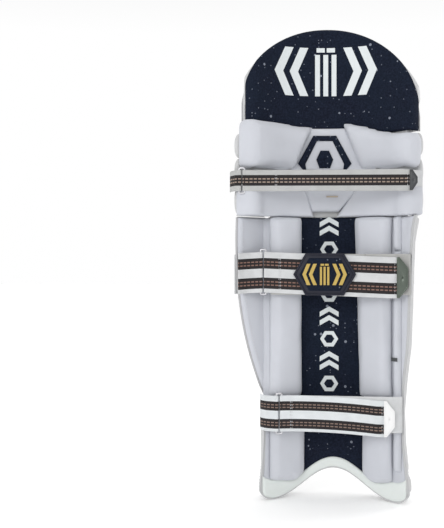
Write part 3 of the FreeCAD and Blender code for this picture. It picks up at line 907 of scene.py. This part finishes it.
def knee_cushions():
    """The two large cushions beside the kneecap, which turn over the ends of the rolls."""
    shapes = {
        "outer": (-0.0600, -0.0285, 0.12,
                  lambda x: 0.5525 + 0.0055 * step(-x, 0.028, 0.10) - 0.0110 * step(-x, 0.126, 0.146)),
        "inner": (0.0420, 0.0115, 0.30,
                  lambda x: 0.5570 - 0.0200 * step(x, 0.011, 0.11) - 0.0030 * step(x, 0.118, 0.132)),
    }
    for name, (low_x, high_x, fold, top) in shapes.items():
        spine = cushion_spine(name == "outer")
        far = spine[2] - 0.001

        def depth(s):
            return mix(0.0155, 0.0148, step(s, far - 0.0365, far - 0.0105))

        def relief(s, z, u, lift):
            return lift * (1 - fold * bump(s, far - 0.0250, 0.0016))

        pad(f"knee_pad_{name}", spine, (slant(reach(spine, low_x), reach(spine, high_x)), far),
            (0.4845, top), depth, 0.012, KNIT, ("knee_upper", "cushion_mesh", f"knee_cushion_{name}"),
            n=(56, 30), crown=0.12, relief=relief, crease=0.0012, side_edges=(0.008, 0.0045),
            puffed=(0.0015, 0.005))


def knee_band():
    """The cushion band under the knee strap: two halves beside a wedge with a tape label."""
    outer = plans(((0.166, -54.2), (0.157, -54.2), (0.149, -53.6), (0.1453, -52.0)))
    both = plans((CUSHION_R, a) for a in range(-48, 44, 8))
    inner = plans(((0.1453, 43.9), (0.149, 45.5), (0.157, 46.1), (0.166, 46.1)))
    spine = bent_spine(outer + both + inner, -1)

    def depth(s):
        from_end = min(s, spine[2] - s)
        return mix(0.0145, 0.0082, step(from_end, 0.012, 0.041))

    left = (0.0005, slant(reach(spine, -0.0295), reach(spine, -0.0425)))
    right = (slant(reach(spine, 0.0045), reach(spine, 0.0340)), spine[2] - 0.0005)
    halves = (("left", left, (0.0045, 0.0050), ["knee_cushion_lower"]),
              ("right", right, (0.0050, 0.0045), []))
    for name, sides, rounding, nodes in halves:
        pad(f"knee_pad_lower_{name}", spine, sides, (0.4167, 0.4607), depth, (0.0028, 0.0060), KNIT,
            ("knee_lower", "cushion_mesh", *nodes), n=(56, 24), crown=0.05, crease=0.0009,
            side_edges=rounding)
    pad("knee_pad_insert", round_spine(CUSHION_R, -1), (slant(-13.2, -18.6), slant(3.2, 15.2)),
        (0.4245, 0.4590), 0.0085, 0.004, KNIT, ("knee_lower", "cushion_mesh"), n=(20, 16), crown=0.1)
    webbing("knee_label", [(x, 0.0300) for x in (-0.0105, -0.002, 0.0065)], 0.4470, 0.0022, 0.0009,
            BEIGE, ("knee_lower", "tag"))


def knee_patch():
    """The kneecap insert, with a raised navy frame round a small navy hexagon."""
    def side(low_x, high_x):
        return lambda v: angle_to(mix(low_x, high_x, v), CUSHION_R)

    pad("knee_patch_pad", round_spine(CUSHION_R - 0.0020, -1), (side(-0.0660, -0.0345), side(0.0490, 0.0175)),
        (0.4845, 0.5490), 0.0040, 0.004, KNIT, ("knee_upper", "navy_fabric", "knee_patch"), n=(24, 24),
        crown=0.15)

    def place(x, z, h):
        return on_wall(PATCH_R - h, x, z)

    def outline(*rows):
        """Six corners from rows of (half width, height), the right-hand ones downwards."""
        middle = -0.0130
        (top, top_z), (waist, waist_z), (foot, foot_z) = rows
        return [(middle - top, top_z), (middle + top, top_z), (middle + waist, waist_z),
                (middle + foot, foot_z), (middle - foot, foot_z), (middle - waist, waist_z)]

    frame_outer = outline((0.0170, 0.5380), (0.0395, 0.4960), (0.0310, 0.4852))
    frame_inner = outline((0.0115, 0.5300), (0.0285, 0.4955), (0.0270, 0.4856))
    ring_plate("knee_patch_ring", frame_outer, frame_inner, place, 0.0022, NAVY,
               ("knee_upper", "navy_fabric"))
    rows, waist_z, shrunk = ((0.0062, 0.5160), (0.0125, 0.5025), (0.0078, 0.4895)), 0.5025, 0.02
    centre = outline(*((half * shrunk, waist_z + (z - waist_z) * shrunk) for half, z in rows))
    ring_plate("knee_patch_core", outline(*rows), centre, place, 0.0026, NAVY,
               ("knee_upper", "navy_fabric"))


# ---- knee rolls --------------------------------------------------------------------------------
TUFTS = [-50.0 + 12.4 * k for k in range(8)]
ROLL_SQUARE = (0.82, 0.74)      # how square a roll's section is, outwards and upwards: 1 is round
LIP_R, LIP_HALF = 0.1714, 0.0062


def knee_roll(name, z0, z1, body, tufted):
    """A padded roll across the knee, whose ends curl over the cushions' wraps."""
    half, mid = (z1 - z0 - 0.0004) / 2, (z0 + z1) / 2
    a0, a1 = ROLL_ANGLES[0] - ROLL_LIP, ROLL_ANGLES[1] + ROLL_LIP
    along, around, rows = 130, 32, []
    for i in range(along + 1):
        angle = mix(a0, a1, eased(i, along) * 0.7 + i / along * 0.3)
        turned = min(angle - a0, a1 - angle)
        size = 0.02 + 0.98 * fillet(turned * radians(1) * ROLL_R, 0.008)
        over = 1 - step(turned, ROLL_LIP - 1.0, ROLL_LIP + 2.5)
        centre_r, depth = mix(ROLL_R, LIP_R, over), mix(ROLL_HALF, LIP_HALF, over)
        row = []
        for k in range(around):
            t = 2 * pi * k / around
            c, s = cos(t), sin(t)
            radial = copysign(abs(c) ** ROLL_SQUARE[0], c)
            upright = copysign(abs(s) ** ROLL_SQUARE[1], s)
            swell = 1.0 + 0.05 * noise.noise(Vector((angle * 0.11, s * 1.5, mid * 60)))
            if tufted and c > 0:
                for tuft in TUFTS:
                    swell -= 0.34 * bump(angle, tuft, 0.8) * bump(s, 0.12, 0.17)
                    swell -= 0.06 * bump(angle, tuft, 3.6) * bump(s, 0.12, 0.6)
            swell -= 0.03 * abs(noise.noise(Vector((angle * 0.5, s * 3, mid * 90)))) * abs(s)
            row.append(plan(centre_r + depth * radial * size * min(swell, 1.06), angle,
                            mid + half * upright * size * min(swell, 1.0)))
        rows.append(row)
    nodes = (f"knee_roll_{name}", f"knee_roll_{name}_filling")
    make(f"roll_{name}", loft(rows), WHITE, (body, "face_leather", *nodes))
    if not tufted:
        return
    for tuft in TUFTS:
        if a0 + ROLL_LIP < tuft < a1 - ROLL_LIP:
            at = plan(ROLL_R + ROLL_HALF * 0.80, tuft, mid + 0.0022)
            side = plan(0.0018, tuft + 90, 0, (0, 0))
            stitches(body, [at - side, at, at + side], length=0.003, gap=0.001, radius=0.0006)


def gussets():
    """Cloth behind each flexing seam, which rises between the rolls."""
    pairs = [("shin", "knee_lower", -36.6, 42.6, 0.0105), ("knee_lower", "knee_middle", -50.6, 43.0, 0.0185),
             ("knee_middle", "knee_upper", -50.6, 43.0, 0.0185),
             ("knee_upper", "thigh_guard", -50.2, 43.6, 0.0150)]
    for seam, (below, above, left, right, depth) in zip(SEAMS, pairs):
        strip = pad(f"flex_cloth_{above}", round_spine(0.1515, 1), (left, right),
                    (seam - 0.011, seam + 0.012), depth, 0.004, WHITE, (None, "face_leather"), n=(60, 12))
        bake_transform(strip)


# ---- wing --------------------------------------------------------------------------------------
def wing():
    edge = smooth_path(WING_EDGE, 0.004)
    z0, z1, inset = 0.1525, 0.4161, 0.0035

    def edge_x(z):
        below = [p for p in edge if p.y <= z] or [edge[-1]]
        above = [p for p in edge if p.y > z] or [edge[0]]
        p, q = below[0], above[-1]
        return mix(p.x, q.x, (z - p.y) / max(q.y - p.y, 1e-6)) if q.y > p.y else p.x

    def free_side(r):
        return lambda v: angle_to(edge_x(mix(z0, z1, v)) + inset - WING_CENTRE[0], r)

    halves = (
        ("wing_face", WING_BEND_R, 1, z1, 0.0062, WHITE,
         ("wing", "face_leather", "wing_pad", "wing_binding")),
        ("wing_leg", WING_BEND_R - 0.0001, -1, z1 - 0.0010, 0.0060, KNIT, ("wing", "cushion_mesh")),
    )
    for name, r, lean, top, depth, look, on in halves:
        pad(name, round_spine(r, lean, WING_CENTRE), (free_side(r), WING_SEAM - 0.12), (z0, top), depth,
            (0.005, 0.0022), look, on, n=(24, 70), crown=0.1, crease=0.0008, side_edges=(0.007, 0.005))
    # The lower roll's cover reaches across above the wing.
    pad("roll_lower_cover", round_spine(WING_BEND_R, 1, WING_CENTRE), (-47.3, -38.0), (0.4173, 0.4192),
        0.0055, 0.0008, WHITE, ("knee_lower", "face_leather"), n=(24, 6))
    tube("wing_piping", [on_wing(WING_BEND_R, p.x + 0.0030, p.y) for p in edge], 0.0017, PIPING,
         ("wing", "piping"))
    for r in (0.3064, 0.2938):
        stitches("wing", [on_wing(r, p.x + 0.0125, p.y) for p in edge[2:-3:2]])


def wing_seam():
    """Cloth at the wing's seam: its outer strip, and the lining that closes the hollow
    between the outer bolster and the wing. Then the size tag on the wing."""
    seam = [plan(0.1635, -35.2).xy, plan(WING_SEAM_R, WING_SEAM).xy,
            plan(WING_BEND_R, WING_SEAM - 0.9, 0, WING_CENTRE).xy]
    spine = bent_spine(seam, 1)
    strip = pad("wing_hinge_cloth", spine, (0, spine[2]), (0.154, 0.4135), 0.0016, 0.002, WHITE,
                (None, "face_leather"), n=(14, 40))
    plan(0.1645, -36.6, 0.28)
    plan(0.1655, -38.5, 0.28)
    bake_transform(strip)
    spine = bent_spine([(-0.0925, 0.0125), (-0.0985, 0.0162), (-0.1035, 0.0172)], 1)
    fold = pad("wing_hinge_lining", spine, (0, spine[2]), (0.1500, 0.4150), 0.0015, 0.001, KNIT,
               (None, "cushion_mesh"), n=(10, 40))
    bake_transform(fold)
    z, half = STRAPS["calf"]["z"], 0.029
    webbing("wing_tag", [(-0.1328, 0.0098), (-0.1386, 0.0040), (-0.1443, -0.0020)], z, 2 * half, 0.0010,
            PLAIN_WEB, ("wing", "tag", "size_tag"))
    stitches("wing", [(-0.1345, 0.0088, z + k * half / 5 * 0.9) for k in range(-5, 6)], length=0.004)


# ---- straps ------------------------------------------------------------------------------------
RING_BAR, LOOP_R = 0.004, 0.0026
WEB_THICKNESS = WEB_T * 0.92


def webbing(name, path, height, width, thickness, look, on, offset=0.0):
    """A woven strap along a plan path. height gives its middle's height at a distance along."""
    points = smooth_path([(*p, 0) for p in path], 0.0025)
    half = ((0.3, 1), (0.6, 0.92), (0.93, 1), (0.975, 0.75), (1, 0.25))
    levels = [(-w, t) for w, t in half[::-1]] + [(0, 0.92)] + list(half)
    ring = levels + [(w, -t) for w, t in levels[::-1]]
    rows, uvs, travelled = [], [], 0.0
    for i, p in enumerate(points):
        if i:
            travelled += (p - points[i - 1]).length
        normal = left_of(points, i).to_3d()
        row = []
        for across, side in ring:
            lift = Vector((0, 0, value(height, travelled) + across * width / 2))
            row.append(p + normal * side * thickness / 2 + lift)
            uvs.append(((travelled + offset) * 100, (across + 1) / 2))
        rows.append(row)
    return make(name, loft(rows), look, on, uvs=uvs)


def strap_ring(name, s, z, body):
    y = s["y"] - WEB_T - WEB_GAP / 2
    half, soft = s["w"] / 2 + 0.0025, 0.0022
    points = []
    for k, (cx, cz) in enumerate(((1, 1), (-1, 1), (-1, -1), (1, -1))):
        for j in range(7):
            a = pi / 2 * (k + j / 6)
            points.append((s["ring"] + cx * (RING_BAR - soft) + soft * cos(a), y,
                           z + cz * (half - soft) + soft * sin(a)))
    tube(f"{name}_ring", points, 0.0015, RING, (body, "ring_metal", f"{name}_strap_ring"), closed=True,
         sides=12)


def loop_round(x, y, start, end, count=9):
    """Plan points round a ring bar, from one direction in degrees to another."""
    turns = [radians(mix(start, end, k / (count - 1))) for k in range(count)]
    return [(x + LOOP_R * cos(a), y + LOOP_R * sin(a)) for a in turns]


def strap(name, anchor_path, base_path, anchor_body, base_body, lay, stitch_x, anchor_droop=0.0,
          base_look=PLAIN_WEB):
    """One strap's webbing. lay gives how far its middle rides above its level at a share of its
    length, and is negative where it droops. Gives back its middle's height as a function of x,
    and the y of the webbing's middle and of its leg side."""
    s = STRAPS[name]
    look, width, z = WEB[name], s["w"] - 0.001, s["z"]
    mid_y = s["y"] - WEB_T - WEB_GAP / 2
    near, far = s["ring"] + RING_BAR, s["ring"] - RING_BAR
    front = s["y"] - 1.5 * WEB_T - WEB_GAP
    strap_ring(name, s, z + lay(0), anchor_body)
    length = s["end"] - near

    def rise(along):
        return z + lay(min(max(along / length, 0), 1))

    # Round the ring's near bar, then straight along to the tip.
    path = loop_round(near, mid_y, 10, 250) + [
        (near + 0.006, front), (mix(near, s["end"], 0.35), front), (mix(near, s["end"], 0.7), front),
        (s["end"], front - 0.0001)]
    run_body, end_body = f"{name}_strap_run", f"{name}_strap_end"
    run = webbing(f"{name}_upper_strap", path, rise, s["w"] - 0.0008, WEB_THICKNESS, look,
                  (None, "webbing", f"{name}_strap_run", f"{name}_strap_tip"))
    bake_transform(run)
    # The under strap starts beside the ring.
    path = [(s["ring"] + 0.0108, s["y"] - WEB_T / 2)] + list(base_path)
    webbing(f"{name}_under_strap", path, z, width, WEB_THICKNESS, base_look,
            (base_body, "webbing", f"{name}_strap_base"))
    path = loop_round(far, mid_y, 170, -70) + [(far - 0.006, front + 0.0004)] + list(anchor_path)
    webbing(f"{name}_anchor", path, lambda along: rise(0) - anchor_droop * along, width, WEB_THICKNESS,
            look, (anchor_body, "webbing", f"{name}_strap_anchor"), offset=0.004)
    outer = front - WEB_T / 2 - 0.0002
    rows = [(run_body, stitch_x, stitch_x), (run_body, stitch_x + 0.0022, stitch_x),
            (end_body, s["end"] - 0.004, s["end"])]
    for body, x, level_x in rows:
        stitches(body, [(x, outer, rise(level_x - near) + k * s["w"] * 0.43) for k in (-1, 0, 1)])
    return lambda x: rise(x - near), front, outer


def dip(name):
    """Where an under strap sinks a little, behind the fold of the strap above it."""
    bend, y = STRAPS[name]["bend"], STRAPS[name]["y"] - WEB_T / 2
    return [(bend + x, y + sunk) for x, sunk in ((-0.013, 0), (-0.006, 0.0009), (0.006, 0.0009), (0.013, 0))]


def tab(name, level, front, look, nose, curl):
    """A moulded finger tab sewn to the strap's tip: bevelled, with a raised rim."""
    s = STRAPS[name]
    half = s["w"] / 2 - 0.0008
    x0, x1, z0 = s["end"] - 0.0015, s["tab"], level(s["end"])
    outline = [(x0, half), (x0 + 0.004, half), (x1, nose), (x1, -nose), (x0 + 0.004, -half), (x0, -half)]
    outline = [(x, z0 + z) for x, z in outline]
    middle = (x0 + x1) / 2

    def shrunk(share_x, share_z):
        return [(mix(middle, x, share_x), mix(z0, z, share_z)) for x, z in outline]

    def place(x, z, h):
        return Vector((x, front - 0.0007 - h - curl * ((x - x0) / (x1 - x0)) ** 2, z))

    body = f"{name}_strap_end"
    ring_plate(f"{name}_tab", outline, shrunk(0.02, 0.02), place, 0.0016, look,
               (body, "tab_plastic", f"{name}_strap_tab"), per_side=5)
    ring_plate(f"{name}_tab_rim", outline, shrunk(0.80, 0.88), lambda x, z, h: place(x, z, h + 0.0012),
               0.0010, look, (body, "tab_plastic"), per_side=5)


def straps():
    front_y = STRAPS["calf"]["y"] - 1.5 * WEB_T - WEB_GAP
    anchor = [(-0.118, front_y + 0.0006), (-0.1275, -0.0160), (-0.1365, -0.0240)]
    base = dip("calf") + [(0.070, -0.010), (0.0850, -0.0098), (0.0945, -0.0075), (0.1025, -0.0080),
                          (0.1088, -0.0118)]
    level, front, outer = strap("calf", anchor, base, "wing", "shin", lambda t: 0.0035 - 0.0080 * t,
                                -0.0785, anchor_droop=0.05, base_look=GREY_WEB)
    # The calf tab's dark green-grey is a painted reflection.
    tab("calf", level, front, CALF_TAB_PAINTED_REFLECTION, 0.014, 0.0008)
    badge(level(-0.016), outer)

    anchor = [(-0.0965, front_y + 0.0030), (-0.1050, -0.0004), (-0.1068, 0.0095)]
    base = dip("ankle") + [(0.040, -0.010), (0.070, -0.010), (0.0820, -0.0095), (0.0900, -0.0075),
                           (0.0978, -0.0065)]
    level, front, outer = strap("ankle", anchor, base, "shin", "shin",
                                lambda t: -0.0008 + 0.0065 * t * (1 - t) - 0.0045 * t * t, -0.062)
    # The ankle tab's white is a painted highlight.
    tab("ankle", level, front, ANKLE_TAB_PAINTED_HIGHLIGHT, 0.011, 0.0006)

    y = STRAPS["knee"]["y"]
    anchor = [(-0.1405, y - 0.0018), (-0.1480, -0.0155), (-0.1500, -0.0060)]
    base = [(-0.06, y - 0.001), (0.0, y - 0.001), (0.05, y - 0.001), (0.0945, y - 0.0008),
            (0.1122, -0.0118), (0.1262, 0.0010)]
    level, front, outer = strap("knee", anchor, base, "knee_lower", "knee_lower",
                                lambda t: 0.0008 - 0.0018 * t, -0.083)
    tab("knee", level, front, DARK_TAB, 0.004, 0.0006)


def badge(z, outer):
    """The large badge on the calf strap: a rubber plate and rim, a navy field and a gold mark."""
    x, body = -0.0130, "calf_strap_run"

    def raised(lift):
        return lambda px, pz, h: Vector((px, outer - 0.0001 - (h + lift), pz))

    edge = hexagon(x, z, 0.0450, 0.0305, 0.0275)
    inside = hexagon(x, z, 0.0413, 0.0277, 0.0255)
    field = hexagon(x, z, 0.0368, 0.0240, 0.0225)
    centre = hexagon(x, z, 0.0006, 0.0004, 0.0003)
    ring_plate("calf_badge_plate", edge, centre, raised(0), 0.0026, NAVY_RUBBER,
               (body, "badge", "calf_badge"))
    ring_plate("calf_badge_rim", edge, inside, raised(0.0008), 0.0026, NAVY_RUBBER, (body, "badge"))
    ring_plate("calf_badge_field", field, centre, raised(0.0016), 0.0018, NAVY, (body, "badge"))
    polygon_plate("calf_badge_mark", wicket(x, z, 0.0305), raised(0.0030), 0.0017, GOLD, (body, "badge"),
                  cuts=1)


# ---- stage -------------------------------------------------------------------------------------
def stage():
    scene = bpy.context.scene
    distance, focal_share = 1.34, 1.6950758
    yaw = atan(0.160 / distance)
    lens = bpy.data.cameras.new("camera")
    lens.lens = lens.sensor_width * focal_share * cos(yaw)
    camera = bpy.data.objects.new("camera", lens)
    camera.location = (-0.008, 0.04 - distance, 0.347)
    camera.rotation_euler = (pi / 2, 0, yaw)
    scene.collection.objects.link(camera)
    scene.camera = camera

    floor_mesh = bpy.data.meshes.new("floor")
    size = 14.0
    floor_mesh.from_pydata([(-size, -size, 0), (size, -size, 0), (size, size, 0), (-size, size, 0)], [],
                           [(0, 1, 2, 3)])
    floor = bpy.data.objects.new("floor", floor_mesh)
    floor.location.z = -0.0005
    floor_mesh.materials.append(material("pale_floor", (0.93, 0.93, 0.93), 0.7,
                                         Emission_Color=(1, 1, 1, 1), Emission_Strength=0.14))
    scene.collection.objects.link(floor)

    # A white sky that is weaker overhead.
    world = bpy.data.worlds.new("world")
    world.use_nodes = True
    graph = Graph(world.node_tree)
    upward = graph.node("SeparateXYZ", {0: graph.place("Generated")}).outputs[2]
    background = world.node_tree.nodes["Background"]
    world.node_tree.links.new(graph.ramp(upward, 0.25, 0.75, 1.0, 0.45), background.inputs[1])
    background.inputs[0].default_value = (1.0, 1.0, 1.0, 1)
    scene.world = world
    lamps = (("key", (-0.9, -2.0, 1.1), 0.8, 13), ("face_key", (2.0, 1.3, 1.2), 0.7, 14))
    for name, place, size, power in lamps:
        light = bpy.data.lights.new(name, "AREA")
        light.size, light.energy = size, power
        lamp = bpy.data.objects.new(name, light)
        lamp.location = place
        aim = Vector((0, 0, 0.35)) - Vector(place)
        lamp.rotation_euler = aim.to_track_quat("-Z", "Y").to_euler()
        scene.collection.objects.link(lamp)
    sun = bpy.data.lights.new("overhead", "SUN")
    sun.energy, sun.angle = 1.1, radians(60)
    scene.collection.objects.link(bpy.data.objects.new("overhead", sun))
    scene.view_settings.view_transform = "Standard"


def main():
    for node in ("shin_canes", "top_canes"):
        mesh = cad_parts[node].data
        mesh.materials.clear()
        mesh.materials.append(CANE)
    for i in range(7):
        shin_rib(i)
    for i in range(7):
        thigh_rib(i)
    thigh_side()
    instep()
    shin_edge()
    top_edge()
    linings()
    lining_marks()
    bolsters()
    side_marker()
    knee_cushions()
    knee_band()
    knee_patch()
    for name, low, high in zip(("lower", "middle", "upper"), SEAMS, SEAMS[1:]):
        knee_roll(name, low, high, f"knee_{name}", name == "middle")
    gussets()
    wing()
    wing_seam()
    straps()
    for body, form in STITCHES.items():
        make(f"stitching_{body}", form, THREAD, (body, "piping"))
    stage()


main()
